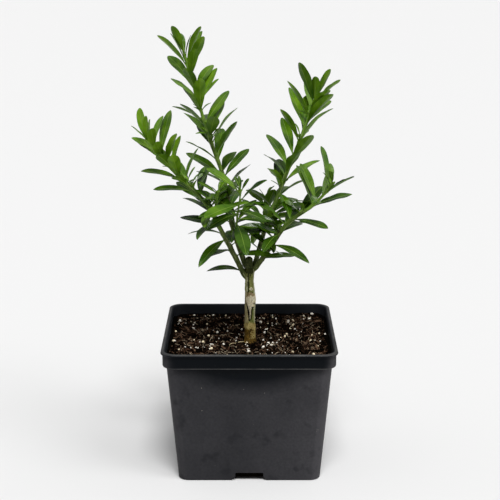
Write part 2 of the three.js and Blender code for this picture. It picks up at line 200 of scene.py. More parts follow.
class Curve:
    """A Catmull-Rom curve through points, from 0 at the first to 1 at the last."""

    def __init__(self, points):
        points = np.array(points, float)
        self.knots = [2 * points[0] - points[1], *points, 2 * points[-1] - points[-2]]

    def point(self, t):
        spans = len(self.knots) - 3
        place = min(max(t, 0), 1) * spans
        k = min(int(place), spans - 1)
        u = place - k
        a, b, c, d = self.knots[k:k + 4]
        start, end = (c - a) / 2, (d - b) / 2
        bend = 3 * (c - b) - 2 * start - end
        return b + start * u + bend * u**2 + (2 * (b - c) + start + end) * u**3

    def tangent(self, t):
        return unit(self.point(min(t + 1e-4, 1)) - self.point(max(t - 1e-4, 0)))

    def length(self, steps=60):
        points = [self.point(k / steps) for k in range(steps + 1)]
        return sum(np.linalg.norm(b - a) for a, b in zip(points, points[1:]))


def square_to(axis, v):
    """The unit direction nearest to v that is square to a unit axis."""
    return unit(v - axis * v.dot(axis))


def frame_of(along):
    """Two directions that complete a frame with a unit vector; the first stays level with +X."""
    across = square_to(along, np.array([1.0, 0, 0]))
    return across, np.cross(along, across)


def circle(along, turns):
    """Unit directions all round a unit vector, one for each turn."""
    across, behind = frame_of(along)
    return np.outer(np.cos(turns), across) + np.outer(np.sin(turns), behind)


def full_turn(sides):
    return np.arange(sides) * TAU / sides


def noise_at(point, scale, seed=0.0):
    """Smooth noise from about -1 to 1 with features of a size in millimetres."""
    x, y, z = point
    return noise.noise(Vector((x / scale + seed, y / scale - seed, z / scale + 2 * seed)))


# ---- Meshes ----

def add_object(name, data):
    """A new object in the scene for a mesh, a light or a camera."""
    thing = bpy.data.objects.new(name, data)
    bpy.context.scene.collection.objects.link(thing)
    return thing


class Shapes:
    """Collects closed shapes, with a material slot for each face, that become one object."""

    def __init__(self):
        self.points, self.grain, self.faces, self.slots = [], [], [], []
        self.count = 0

    def add(self, points, faces, slots, grain=None):
        self.points.append(points)
        self.grain.append(points if grain is None else np.reshape(grain, (-1, 3)))
        self.faces += [tuple(self.count + i for i in face) for face in faces]
        self.slots += [slots] * len(faces) if isinstance(slots, int) else slots
        self.count += len(points)

    def make(self, name, materials, material_slot, replaces, sharp=None):
        """The finished object, tied to the frame. Edges that bend by more than sharp stay crisp."""
        mesh = bpy.data.meshes.new(name)
        mesh.from_pydata(np.concatenate(self.points) * MM, [], self.faces)
        for material in materials:
            mesh.materials.append(material)
        mesh.polygons.foreach_set("material_index", self.slots)
        mesh.polygons.foreach_set("use_smooth", np.ones(len(self.faces), bool))
        grain = mesh.attributes.new("grain", "FLOAT_VECTOR", "POINT")
        grain.data.foreach_set("vector", np.concatenate(self.grain).astype(np.float32).ravel())
        if sharp is not None:
            crisp_edges(mesh, sharp)
        mesh.validate()
        piece = add_object(name, mesh)
        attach(piece, BODY)
        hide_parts(*replaces)
        return piece


def crisp_edges(mesh, angle):
    """Marks the edges that bend by more than an angle, in degrees, as sharp."""
    shape = bmesh.new()
    shape.from_mesh(mesh)
    for edge in shape.edges:
        if len(edge.link_faces) == 2 and edge.calc_face_angle(0) > radians(angle):
            edge.smooth = False
    shape.to_mesh(mesh)
    shape.free()


def loft(rings):
    """Points and faces of a tube through rings of points. Faces run ring by ring, then the ends."""
    rings = np.asarray(rings, float)
    rows, sides = rings.shape[:2]
    faces = []
    for row in range(rows - 1):
        low, high = row * sides, (row + 1) * sides
        for side in range(sides):
            after = (side + 1) % sides
            faces.append((low + side, low + after, high + after, high + side))
    last = (rows - 1) * sides
    faces += [tuple(range(sides - 1, -1, -1)), tuple(range(last, last + sides))]
    return rings.reshape(-1, 3), faces


def close_over(rings, shares, lift):
    """Adds rings that shrink into the middle of the last one and rise by up to a lift."""
    last = np.array(rings[-1])
    middle = last.mean(axis=0)
    for share in shares:
        rings.append(middle + (last - middle) * share + UP * lift * (1 - share))


# ---- Materials ----

def linear(value):
    """A linear value from an sRGB value of 0 to 255."""
    value /= 255
    return value / 12.92 if value <= 0.04045 else ((value + 0.055) / 1.055) ** 2.4


def srgb(colour):
    return (*map(linear, colour), 1)


class Nodes:
    """A node tree, and short ways to add to it."""

    def __init__(self, tree):
        self.tree = tree

    def node(self, kind, inputs=None, **settings):
        node = self.tree.nodes.new(kind)
        for key, value in settings.items():
            setattr(node, key, value)
        for key, value in (inputs or {}).items():
            self.feed(node.inputs[key], value)
        return node

    def feed(self, socket, value):
        if isinstance(value, bpy.types.NodeSocket):
            self.tree.links.new(value, socket)
        else:
            socket.default_value = value

    def axes(self, vector):
        return self.node("ShaderNodeSeparateXYZ", {"Vector": vector}).outputs

    def maths(self, operation, *values):
        inputs = dict(enumerate(values))
        return self.node("ShaderNodeMath", inputs, operation=operation).outputs["Value"]

    def product(self, result, *factors):
        for factor in factors:
            result = self.maths("MULTIPLY", result, factor)
        return result

    def span(self, factor, low, high, start=0.3, end=0.7, **settings):
        """A factor's range from start to end, spread from low to high."""
        values = (factor, start, end, low, high)
        inputs = dict(zip(("Value", "From Min", "From Max", "To Min", "To Max"), values))
        return self.node("ShaderNodeMapRange", inputs, **settings).outputs["Result"]


class Finish(Nodes):
    """A procedural material: a Principled shader with noise-driven colour, gloss and relief.

    Colours are triples of sRGB values.
    """

    def __init__(self, name, roughness, specular=0.5):
        self.material = bpy.data.materials.new(name)
        self.material.use_nodes = True
        super().__init__(self.material.node_tree)
        self.shader = self.tree.nodes["Principled BSDF"]
        self.shader.inputs["Roughness"].default_value = roughness
        self.shader.inputs["Specular IOR Level"].default_value = specular
        self.height = None

    def spot(self):
        """The place on the object, in metres."""
        return self.node("ShaderNodeTexCoord").outputs["Object"]

    def grain(self, scale):
        """The piece's own grain directions, in millimetres, scaled."""
        source = self.node("ShaderNodeAttribute", attribute_name="grain").outputs["Vector"]
        return self.node("ShaderNodeMapping", {"Vector": source, "Scale": scale}).outputs["Vector"]

    def noise(self, scale, detail=3, vector=(1, 1, 1), roughness=0.55):
        """Noise over a vector, or over the grain with a scale for each of its directions."""
        if isinstance(vector, tuple):
            vector = self.grain(vector)
        inputs = {"Vector": vector, "Scale": scale, "Detail": detail, "Roughness": roughness}
        return self.node("ShaderNodeTexNoise", inputs).outputs["Fac"]

    def ramp(self, factor, dark, light, low=0.32, high=0.68):
        """Colours from dark, where a factor is low, to light, where it is high."""
        node = self.node("ShaderNodeValToRGB", {"Fac": factor})
        for element, share, colour in zip(node.color_ramp.elements, (low, high), (dark, light)):
            element.position = share
            element.color = srgb(colour)
        return node.outputs["Color"]

    def blend(self, factor, under, over, mode="MIX"):
        node = self.node("ShaderNodeMix", data_type="RGBA", blend_type=mode)
        self.feed(node.inputs["Factor"], factor)
        colours = [socket for socket in node.inputs if socket.type == "RGBA"]
        for socket, colour in zip(colours, (under, over)):
            self.feed(socket, srgb(colour) if isinstance(colour, tuple) else colour)
        return next(socket for socket in node.outputs if socket.type == "RGBA")

    def colour(self, value):
        self.feed(self.shader.inputs["Base Color"], value)

    def gloss(self, value):
        self.feed(self.shader.inputs["Roughness"], value)

    def relief(self, height, distance, strength=1.0):
        """Adds relief of a depth in millimetres over any that is there."""
        inputs = {"Height": height, "Distance": distance * MM, "Strength": strength}
        if self.height is not None:
            inputs["Normal"] = self.height
        self.height = self.node("ShaderNodeBump", inputs).outputs["Normal"]
        self.feed(self.shader.inputs["Normal"], self.height)


def mottled(name, dark, light, roughness, scale, relief, specular=0.5):
    """A matt or glossy finish whose colour drifts between two tones."""
    finish = Finish(name, roughness, specular)
    tone = finish.noise(scale)
    finish.colour(finish.ramp(tone, dark, light))
    finish.gloss(finish.span(tone, roughness + 0.08, roughness - 0.06))
    finish.relief(finish.noise(scale * 3, 4), relief)
    return finish.material


# ---- Growth, as in the part's solids ----

Leaf = namedtuple("Leaf", "root base along face length width curl droop place")


def opened_from(axis, azimuth, angle):
    """A direction that opens by an angle from an axis, turned round it to an azimuth."""
    across, behind = frame_of(axis)
    outwards = across * cos(azimuth) + behind * sin(azimuth)
    return axis * cos(angle) + outwards * sin(angle)


def opening_axis(curve, t):
    return unit(mix(curve.tangent(t), UP, LIFT))


def make_leaf(curve, t, azimuth, angle, length, random):
    stem = curve.tangent(t)
    axis = opening_axis(curve, t)
    along = opened_from(axis, azimuth, angle)
    level = square_to(along, axis)
    root = curve.point(t)
    base = root + square_to(stem, along) * STEM_OFFSET
    width = length * WIDTH_RATIO * (1 + random.spread(0.1))
    curl = CURL * (1 + random.spread(0.7))
    droop = mix(*DROOP, t) * (1 + random.spread(0.5))
    roll = radians(random.spread(22))
    face = level * cos(roll) + np.cross(along, level) * sin(roll)
    return Leaf(root, base, along, face, length, width, curl, droop, t)


def flush_of(curve, start, end, leaves, angle, leaf, closing, seed):
    """The leaves of one flush, in a spiral along the stem from one share of it to another."""
    random = Stream(seed)
    phase = 360 * random.next()
    vigour = 1 + random.spread(0.14)
    opening = random.spread(9)
    count = leaves + (int(3 * random.next()) - 1 if closing == 1 else 0)
    grown = []
    for k in range(count):
        t = mix(start, end, (k + 0.5 + random.spread(0.45)) / count)
        azimuth = radians(phase + SPIRAL * k + random.spread(28))
        opened = radians(closing * (mix(*angle, t) + opening + random.spread(11)))
        length = mix(*leaf, t) * vigour * (1 + random.spread(0.18))
        grown.append(make_leaf(curve, t, azimuth, opened, length, random))
    return grown


def leaves_of(shoot, curve):
    """The flushes up a stem and the closed one at its tip."""
    *flush_seeds, tip_seed = shoot.seeds
    span = (TIP_START - shoot.first_leaf) / len(flush_seeds)
    grown = []
    for index, seed in enumerate(flush_seeds):
        start = shoot.first_leaf + span * index
        end = start + span
        grown += flush_of(curve, start, end, FLUSH_LEAVES, shoot.angle, shoot.leaf, 1, seed)
    length = (shoot.tip_leaf, shoot.tip_leaf)
    return grown + flush_of(
        curve, TIP_START, 1, TIP_LEAVES, shoot.angle, length, TIP_CLOSING, tip_seed
    )


def midrib_point(leaf, s):
    bend = leaf.face * -leaf.curl + DOWN * leaf.droop
    return leaf.base + (leaf.along * s + bend * s * s) * leaf.length


def clear_of(leaf, centres, reach):
    """Whether a leaf's midrib keeps a reach away from the points of some centre lines."""
    points = [midrib_point(leaf, s) for s in MIDRIB_CHECKS]
    return all(np.linalg.norm(centres - point, axis=1).min() >= reach for point in points)


# ---- Leaves ----

BLADE_ROWS = 17
BLADE_SHARES = (0.3, 0.62, 0.88)  # columns from the midrib's edge to the margin
MIDRIB_HALF = 0.27
PETIOLE_HALF = 0.5
VEIN_SLANT = 0.9
LEAF_OLD, LEAF_MID, LEAF_YOUNG, LEAF_UNDER, LEAF_PALE_UNDER, LEAF_RIB = range(6)

# How much younger each shoot's leaves look.
YOUTH = {"left": 0.04, "tall": 0.04, "upper_right": 0.14, "right": -0.3}

# The lowest leaf hangs from the left shoot just above the fork: its place on the stem, the way it
# points and the way it faces, and its length, width, curl and droop.
LOW_LEAF_PLACE = 0.06
LOW_LEAF_ALONG = (-0.88, -0.12, 0.46)
LOW_LEAF_FACE = (0, -0.35, 1.0)
LOW_LEAF_SIZES = (26, 7, 0.3, 0.22)


def low_leaf(curve):
    """The one leaf that no flush grows."""
    along = unit(np.array(LOW_LEAF_ALONG))
    root = curve.point(LOW_LEAF_PLACE)
    base = root + square_to(curve.tangent(LOW_LEAF_PLACE), along) * STEM_OFFSET
    face = square_to(along, np.array(LOW_LEAF_FACE))
    return Leaf(root, base, along, face, *LOW_LEAF_SIZES, LOW_LEAF_PLACE)


def outline_at(s, fall):
    """The half width along a leaf as a share of its greatest."""
    peak = OUTLINE_RISE / (OUTLINE_RISE + fall)
    return (s / peak)**OUTLINE_RISE * ((1 - s) / (1 - peak))**fall


def add_blade(shapes, leaf, tone, random):
    """A leaf: a folded, curled blade with a sunken midrib above and a raised one below.

    The leaves higher up a stem have rounder tips.
    """
    fall = OUTLINE_FALL + mix(0.06, -0.22, leaf.place)
    fold = random.between(0.08, 0.34)
    ripple = random.between(0.02, 0.09)
    waves = random.between(1.2, 2.4)
    phase = TAU * random.next()
    twist = radians(random.spread(12))
    sickle = random.spread(0.02)
    shift = 50 * random.next()
    side = np.cross(leaf.along, leaf.face)
    rings, grain = [], []
    for row in range(-1, BLADE_ROWS):
        s = 0.5 - 0.5 * cos(pi * max(row, 0) / (BLADE_ROWS - 1))
        turn = twist * s
        across = side * cos(turn) + leaf.face * sin(turn)
        lift = leaf.face * cos(turn) - side * sin(turn)
        centre = midrib_point(leaf, s) + side * sickle * s * s * leaf.length
        if row < 0:
            centre = leaf.root
        petiole = PETIOLE_HALF * (1 - smooth(0, 0.14, s))
        half = max(0.5 * leaf.width * outline_at(s, fall), petiole, 0.05)
        rib = min(MIDRIB_HALF * (1 - 0.6 * s), 0.35 * half)
        places = [rib] + [mix(rib, half, share) for share in BLADE_SHARES] + [half]
        body = mix(0.16, 0.24, 1 - s) + 0.5 * petiole
        top, under = [], []
        for sign in (-1, 1):
            for place in places[::sign]:
                v = place / half
                wave = sin(TAU * waves * s + phase + sign)
                rise = half * (fold * v**1.3 + ripple * v * v * wave) * smooth(0, 0.2, s)
                thick = body * (1 - v**3)
                over, below = (0.07, 0.16 * (1 - s)) if place == rib else (0, 0)
                spot = centre + across * sign * place + lift * rise
                slant = (leaf.length * s - VEIN_SLANT * place, v, shift)
                top.append((spot + lift * (thick - over), slant))
                if place != half:
                    under.append((spot - lift * (thick + below), slant))
        ring, slants = zip(*top, *under[::-1])
        rings.append(ring)
        grain.append(slants)
    columns = len(BLADE_SHARES) + 2
    under_tone = LEAF_PALE_UNDER if tone == LEAF_YOUNG else LEAF_UNDER
    around = []
    for column in range(len(rings[0])):
        on_rib = column in (columns - 1, 3 * columns - 2)
        on_top = column < 2 * columns - 1
        around.append(LEAF_RIB if on_rib else tone if on_top else under_tone)
    shapes.add(*loft(rings), around * BLADE_ROWS + [under_tone, tone], grain)


LEAF_TONES = (
    ("leaf_old", (24, 56, 0), (68, 102, 20), 0.19),
    ("leaf_mature", (46, 86, 0), (94, 130, 26), 0.17),
    ("leaf_young", (70, 114, 0), (113, 152, 32), 0.19),
    ("leaf_underside", (46, 84, 0), (88, 122, 22), 0.4),
    ("leaf_pale_underside", (64, 102, 2), (106, 144, 24), 0.38),
    ("leaf_midrib", (94, 126, 28), (124, 152, 52), 0.4),
)


def leaf_look(name, dark, light, roughness):
    finish = Finish(name, roughness, 0.12 if "underside" in name else 0.38)
    finish.colour(finish.ramp(finish.noise(0.28, 3, (0.25, 0.6, 3)), dark, light, 0.34, 0.64))
    finish.gloss(finish.span(finish.noise(0.6, 2), roughness - 0.05, roughness + 0.09))
    if name != "leaf_midrib":
        inputs = {"Vector": finish.grain((0.42, 0, 1)), "Scale": 1, "Distortion": 1.2, "Detail": 1}
        veins = finish.node("ShaderNodeTexWave", inputs)
        finish.relief(veins.outputs["Fac"], 0.05, 0.7)
    finish.relief(finish.noise(2.6, 3), 0.03, 0.6)
    return finish.material


# ---- Stems ----

STEM_SIDES = 20
ROW_LENGTH = 0.7
SHOOT_SEED = 900
SPUR_CHANCE = 0.1
SPUR_RADII = (0.55, 0.4)
STEM_WOODY, STEM_GREEN, STEM_YOUNG = range(3)


def add_stem(shapes, curve, radii, leaves, tip, collar, seed):
    """A green stem with faint ribs, a swelling under each leaf and a bud at its tip.

    With a collar it starts narrow inside the trunk and leaves it with a small wrinkled swelling.
    """
    length = curve.length()
    rows = int(length / ROW_LENGTH)
    turns = full_turn(STEM_SIDES)
    skin = 2 * np.column_stack((np.cos(turns), np.sin(turns), np.zeros(STEM_SIDES)))
    nodes = [(leaf.place * length, unit(leaf.base - leaf.root)) for leaf in leaves]
    rings, grain = [], []
    for t in np.linspace(0, 1, rows + 1):
        centre = curve.point(t)
        outward = circle(curve.tangent(t), turns)
        place = t * length
        radius = mix(*radii, t) * (1 + 0.045 * np.cos(5 * turns + 9 * t))
        if collar:
            wrinkles = 0.1 * np.cos(TAU * place / 1.3) * bump(place, 7, 3)
            radius *= mix(0.55, 1, smooth(0, 5, place))
            radius += 0.12 * bump(place, 6, 3) + wrinkles
        for spot, away in nodes:
            if abs(place - spot) < 5:
                scar = 0.42 * bump(place, spot - 0.5, 1.4) + 0.16 * bump(place, spot - 2.4, 2)
                radius += scar * np.clip(outward @ away, 0, 1)**2
        radius += [0.07 * noise_at(centre + ray * radii[0], 1.6, seed) for ray in outward]
        rings.append(centre + outward * radius[:, None])
        grain.append(skin + (0, 0, place + seed))
    last = rings[-1] - centre
    for share in (0.3, 0.6, 0.85, 0.97):
        rings.append(centre + curve.tangent(1) * tip * share + last * sqrt(1 - share**2))
        grain.append(grain[-1] + (0, 0, tip * share))
    slots = []
    for row, ring in enumerate(rings[:-1]):
        for spot in ring:
            t = row / rows + 0.12 * noise_at(spot, 3, seed)
            woody = t < 0.36 and collar
            slots.append(STEM_WOODY if woody else STEM_GREEN if t < 0.66 else STEM_YOUNG)
    shapes.add(*loft(rings), slots + [STEM_WOODY, STEM_YOUNG], grain)


def add_bud(shapes, leaf, stem, size):
    """A small pointed bud in a leaf's axil."""
    away = unit(leaf.base - leaf.root)
    along = unit(stem + 0.45 * away)
    foot = leaf.root + away * (STEM_OFFSET + 0.35) + stem * 0.5
    around = circle(along, full_turn(8))
    rings = []
    for share in (0, 0.15, 0.4, 0.65, 0.85, 1):
        radius = size * 0.42 * sqrt(max(1 - share**1.6, 0.01))
        radius *= 0.75 + 0.25 * smooth(0, 0.3, share)
        rings.append(foot + along * size * share + around * radius)
    shapes.add(*loft(rings), 0)


STEM_TONES = (
    ("stem_woody", (48, 58, 22), (96, 108, 52), (186, 184, 140), 0.55),
    ("stem_green", (62, 88, 24), (104, 130, 50), (172, 178, 124), 0.48),
    ("stem_young", (78, 112, 28), (118, 152, 54), (146, 172, 82), 0.42),
)


def stem_look(name, dark, light, streak, roughness):
    finish = Finish(name, roughness, 0.16)
    tone = finish.noise(0.45, 3, (1, 1, 0.35))
    streaks = finish.span(finish.noise(1.1, 3, (1.4, 1.4, 0.12)), 0, 0.75, 0.58, 0.7)
    finish.colour(finish.blend(streaks, finish.ramp(tone, dark, light, 0.32, 0.66), streak))
    finish.gloss(finish.span(tone, roughness + 0.1, roughness - 0.06))
    finish.relief(finish.noise(2.4, 4, (1, 1, 0.3)), 0.2)
    return finish.material


def spur_leaves(curve, leaf, random):
    """A short side shoot in an axil: its centre line and its few small leaves."""
    azimuth = 360 * random.next()
    start = leaf.root
    along = unit(0.55 * leaf.along + 0.6 * opening_axis(curve, leaf.place) + 0.1 * UP)
    length = random.between(3.5, 7)
    spur = Curve((start, start + along * length * 0.5, start + along * length + UP * 0.4))
    size = random.between(7, 11)
    leaves = []
    for k in range(4):
        t = 0.55 + 0.15 * k
        turn = radians(azimuth + SPIRAL * k)
        opened = radians(62 - 10 * k + random.spread(8))
        leaves.append(make_leaf(spur, t, turn, opened, size * random.between(0.8, 1.15), random))
    return spur, leaves


def centres_of(lines):
    shares = np.linspace(0, 1, STEPS_PER_SHOOT + 1)
    return np.array([line.point(t) for line in lines for t in shares])


def add_foliage(parts, line, leaves, main, youth, seed, random):
    """The blades, the buds and a few spurs of one stem."""
    blades, stems, buds = parts
    for leaf in leaves:
        ripeness = youth + leaf.place * (1 if main else 0.3) + random.spread(0.32)
        tone = LEAF_OLD if ripeness < 0.42 else LEAF_MID if ripeness < 0.8 else LEAF_YOUNG
        add_blade(blades, leaf, tone, random)
        add_bud(buds, leaf, line.tangent(leaf.place), random.between(1.1, 1.7))
        if random.next() < SPUR_CHANCE and 0.2 < leaf.place < 0.9 and main:
            spur, small = spur_leaves(line, leaf, random)
            add_stem(stems, spur, SPUR_RADII, small, 0.6, False, seed)
            for leaflet in small:
                add_blade(blades, leaflet, LEAF_YOUNG if leaf.place > 0.6 else LEAF_MID, random)


def make_shoots():
    lines = {name: [Curve(growth.path) for growth in growths] for name, growths in SHOOTS.items()}
    trunk_line = Curve(((TRUNK_FOOT_X, 0, TRUNK_RINGS[0][0]), (STUB_X, 0, STUB_TOP)))
    trunk_centres = centres_of([trunk_line])
    leaf_looks = [leaf_look(*tone) for tone in LEAF_TONES]
    stem_looks = [stem_look(*tone) for tone in STEM_TONES]
    for index, (name, growths) in enumerate(SHOOTS.items()):
        random = Stream(SHOOT_SEED + index)
        others = [line for other in lines if other != name for line in lines[other]]
        stem_centres = centres_of(others)
        blades, stems, buds = parts = Shapes(), Shapes(), Shapes()
        for order, (growth, line) in enumerate(zip(growths, lines[name])):
            leaves = [
                leaf for leaf in leaves_of(growth, line)
                if clear_of(leaf, trunk_centres, TRUNK_REACH)
                and clear_of(leaf, stem_centres, STEM_REACH)
            ]
            main = order == 0
            tip = BUD_LENGTH if main else BUD_LENGTH / 2
            add_stem(stems, line, growth.radius, leaves, tip, main, 10 * index + order)
            add_foliage(parts, line, leaves, main, YOUTH[name], 10 * index + 5, random)
        if name == "left":
            add_blade(blades, low_leaf(lines[name][0]), LEAF_OLD, random)
        mass = "foliage_" + name
        stems.make("stems_" + name, stem_looks, "green_bark", ("bough_" + name, mass))
        blades.make("leaves_" + name, leaf_looks, "foliage", (mass,), sharp=48)
        buds.make("buds_" + name, [stem_looks[STEM_YOUNG]], "green_bark", (mass,))


# ---- Trunk ----

TRUNK_SIDES = 84
TRUNK_ROW = 0.36
BARK_FOOT, BARK_OLIVE, BARK_PALE, BARK_GREEN, BARK_SHADE = range(5)
BARK_CALLUS, BARK_CREAM, BARK_DARK, BARK_HIGHLIGHT, BARK_BROWN, BARK_TAN = range(5, 11)

# The graft's pale wedge: heights, and the turns from the front at which it starts and ends there.
WEDGE_HEIGHTS = (111.5, 113.5, 115.5, 118, 120.5, 123, 125, 126.5, 129, 131, 133)
WEDGE_LEFT = (-0.12, -0.16, -0.1, -0.14, -0.3, -0.5, -0.7, -0.86, -0.8, -0.25, 0.15)
WEDGE_RIGHT = (-0.02, 0.08, 0.18, 0.2, 0.3, 0.42, 0.7, 1.3, 1.5, 1.2, 0.4)

# The slit down the wedge's left side, sunk and painted near-black as shade: heights and the turns
# from the front.
SLIT_HEIGHTS = (110, 114, 116.5, 119, 121.5, 124, 127)
SLIT_TURNS = (-0.12, -0.25, -0.28, -0.36, -0.56, -0.76, -1.08)

# Bumps and dents: a depth, a height and its reach, and a turn from the front and its reach.
SCAR_HEIGHT = 136.3
BARK_BUMPS = (
    (0.7, 125.5, 1.2, 0.92, 0.3), (0.6, 122.9, 1.1, 0.6, 0.27),  # nubs
    (-0.4, 124.2, 0.4, 0.9, 0.25), (-0.35, 121.4, 0.4, 0.6, 0.24),  # the dents under them
    (0.5, SCAR_HEIGHT, 1.3, 0.3, 0.34), (-0.5, SCAR_HEIGHT, 0.5, 0.3, 0.12),
    (0.5, 148, 3, -1.5, 0.6), (0.4, 151, 2, 1.5, 0.6),  # under the boughs
)
BARK_RIDGES = ((0.22, 139.8, 0.5), (-0.3, 133.4, 0.4), (0.14, 144.5, 0.5))

# Patches of colour: a height and its reach, and a turn and its reach.
NUB_PATCHES = ((125.5, 1.5, 0.92, 0.36), (122.9, 1.3, 0.6, 0.32))
# Painted shadows under the nubs.
NUB_SHADOW_PATCHES = ((124.2, 0.7, 0.95, 0.35), (121.4, 0.6, 0.6, 0.28), (126.2, 0.8, 1.25, 0.16))


def wedge_at(z):
    """The turns at the wedge's left and right borders."""
    return np.interp(z, WEDGE_HEIGHTS, WEDGE_LEFT), np.interp(z, WEDGE_HEIGHTS, WEDGE_RIGHT)


def slit_at(z):
    """The slit's turn and half its width."""
    return np.interp(z, SLIT_HEIGHTS, SLIT_TURNS), 0.1 + 0.15 * bump(z, 120, 9)


def trunk_relief(turn, z):
    """How far the bark stands out, by the turn from the front towards +X and the height."""
    point = (9 * sin(turn), 9 * cos(turn), z)
    along = (point[0], point[1], z * 0.22)
    rough = 0.14 * noise_at(along, 1.5) + 0.09 * noise_at(point, 0.8, 5)
    rough -= 0.25 * max(0, noise_at(along, 3.2, 9) - 0.25)
    slit = -1.1 * bump(turn, *slit_at(z)) * smooth(109.5, 111.5, z) * (1 - smooth(125.5, 127.5, z))
    left, right = wedge_at(z)
    callus = 0.3 * smooth(left - 0.1, left + 0.08, turn)
    callus *= 1 - smooth(right - 0.08, right + 0.1, turn)
    callus *= smooth(112, 124, z) * (1 - smooth(129, 133, z))
    bumps = sum(
        depth * bump(z, height, tall) * bump(turn, middle, wide)
        for depth, height, tall, middle, wide in BARK_BUMPS
    )
    ridges = sum(depth * bump(z, height, tall) for depth, height, tall in BARK_RIDGES)
    bulge = 0.55 * sin(turn) * bump(z, 128, 8)
    return rough + slit + callus + bumps + ridges + bulge


def on_patch(turn, z, patches):
    return any(
        bump(z, height, tall) * bump(turn, middle, wide) > 0.5
        for height, tall, middle, wide in patches
    )


def trunk_slot(turn, z):
    """Which bark tone, painted shade or painted highlight shows, by the turn from the front towards
    +X and the height.
    """
    side = (8 * sin(turn), 8 * cos(turn))
    ragged = noise_at((*side, z * 0.6), 1.4, 3)
    speckle = noise_at((*side, z), 0.7, 7)
    slit_turn, slit_half = slit_at(z)
    left, right = wedge_at(z)
    from_scar = hypot(z - SCAR_HEIGHT, 3.7 * (turn - 0.3))
    # The first that holds counts.
    looks = (
        # The slit, painted near-black as the shade inside it.
        (BARK_DARK, abs(turn - slit_turn + 0.04 * ragged) < slit_half and 110.5 < z < 127),
        (BARK_CREAM, on_patch(turn, z, NUB_PATCHES)),
        # Painted shadows under the nubs.
        (BARK_DARK, on_patch(turn, z, NUB_SHADOW_PATCHES)),
        (BARK_CALLUS, left < turn + 0.16 * ragged < right
            and WEDGE_HEIGHTS[0] < z + 2.4 * ragged < 130.4),
        (BARK_BROWN, left - 0.35 < turn + 0.3 * ragged < right + 0.1 and 128.5 < z < 133.4),
        (BARK_DARK, from_scar < 0.45),
        (BARK_CREAM, from_scar < 1.2),
        # Painted light on the foot's right side, where the light from the right falls.
        (BARK_TAN, 96 < z < 104 - 1.6 * ragged and 0.5 < turn + 1.5 * speckle < 2.6),
        (BARK_FOOT, z + 1.6 * ragged < 104),
        (BARK_TAN, z + 1.4 * ragged < 109),
        (BARK_SHADE, abs(z - 133.4 + 1.4 * ragged) < 0.45 and abs(turn - 0.2 + ragged) < 0.8),
        # Painted highlight down the trunk's right side, where the light from the right falls.
        (BARK_HIGHLIGHT, 0.84 + 0.12 * ragged < turn < 2.3),
        # Painted highlight in a stripe up the neck's left side.
        (BARK_HIGHLIGHT, 133.8 < z + 2 * ragged < 146 and -0.76 < turn + 0.1 * ragged < -0.44),
        (BARK_SHADE, 111 < z < 126 and right < turn + 0.08 * ragged < right + 0.34),
        (BARK_SHADE, z + 3 * ragged > 147.5 and abs(turn) < 1.3),
        (BARK_GREEN, z < 126 and -0.2 < turn + 0.1 * ragged < 2.3),
        (BARK_SHADE, z > 134 and -0.42 < turn + 0.1 * ragged < -0.06),
        (BARK_PALE, turn + 0.15 * ragged < -0.2 and z < 134),
        (BARK_OLIVE, True),
    )
    return next(look for look, shown in looks if shown)


def make_trunk():
    foot, top = TRUNK_RINGS[0][0], TRUNK_RINGS[-1][0]
    profile = Curve([(radius, z, 0) for z, radius in TRUNK_RINGS])
    radii, levels = np.array([profile.point(k / 200)[:2] for k in range(201)]).T
    low = foot - 1.2
    rows = int((top - low) / TRUNK_ROW)
    turns = full_turn(TRUNK_SIDES) - pi
    rings = []
    for row in range(rows + 1):
        z = mix(low, top, row / rows)
        flared = np.interp(z, levels, radii) + 0.3 * (1 - smooth(91, 96, z))
        fade = max(0, 1 - (z - foot) / 6)
        shift = TRUNK_FOOT_X + TRUNK_LEAN * (z - foot)
        ring = []
        for turn in turns:
            r = flared * (1 + 0.06 * fade * cos(5 * turn)) + trunk_relief(turn, z)
            ring.append((r * sin(turn) + shift, -r * cos(turn), z))
        rings.append(ring)
    close_over(rings, (0.7, 0.35, 0.05), 0.5)
    slots = []
    for row in range(len(rings) - 1):
        z = mix(low, top, row / rows)
        slots += [trunk_slot(turn, z) for turn in turns]
    shapes = Shapes()
    shapes.add(*loft(rings), slots + [BARK_FOOT, BARK_OLIVE])
    looks = [bark_look(*tone) for tone in BARK_TONES]
    shapes.make("trunk_bark", looks, "trunk_bark", ("trunk",))


BARK_TONES = (
    ("bark_foot", (48, 32, 6), (138, 108, 46), 0.6),
    ("bark_olive", (108, 112, 52), (166, 168, 102), 0.55),
    ("bark_pale", (134, 122, 78), (190, 178, 132), 0.58),
    ("bark_green", (76, 82, 28), (140, 148, 82), 0.5),
    ("bark_shade", (38, 42, 16), (72, 76, 34), 0.55),
    ("bark_callus", (222, 202, 160), (255, 248, 220), 0.66),
    ("bark_cream", (226, 212, 160), (252, 244, 214), 0.6),
    ("bark_dark", (8, 7, 0), (26, 22, 6), 0.7),
    ("bark_highlight", (140, 142, 98), (218, 216, 178), 0.5),
    ("bark_brown", (134, 114, 78), (196, 176, 136), 0.62),
    ("bark_tan", (142, 120, 62), (214, 196, 130), 0.6),
)


def bark_look(name, dark, light, roughness):
    finish = Finish(name, roughness, 0.08)
    tone = finish.noise(0.6, 5, (1, 1, 0.3), 0.65)
    body = finish.ramp(tone, dark, light, 0.34, 0.64)
    flecks = finish.ramp(finish.noise(2.2, 3), (136, 134, 124), (255, 255, 255), 0.33, 0.55)
    finish.colour(finish.blend(1.0, body, flecks, "MULTIPLY"))
    finish.gloss(finish.span(tone, roughness + 0.1, roughness - 0.06))
    finish.relief(finish.noise(1.4, 5, (1, 1, 0.35)), 0.35)
    return finish.material


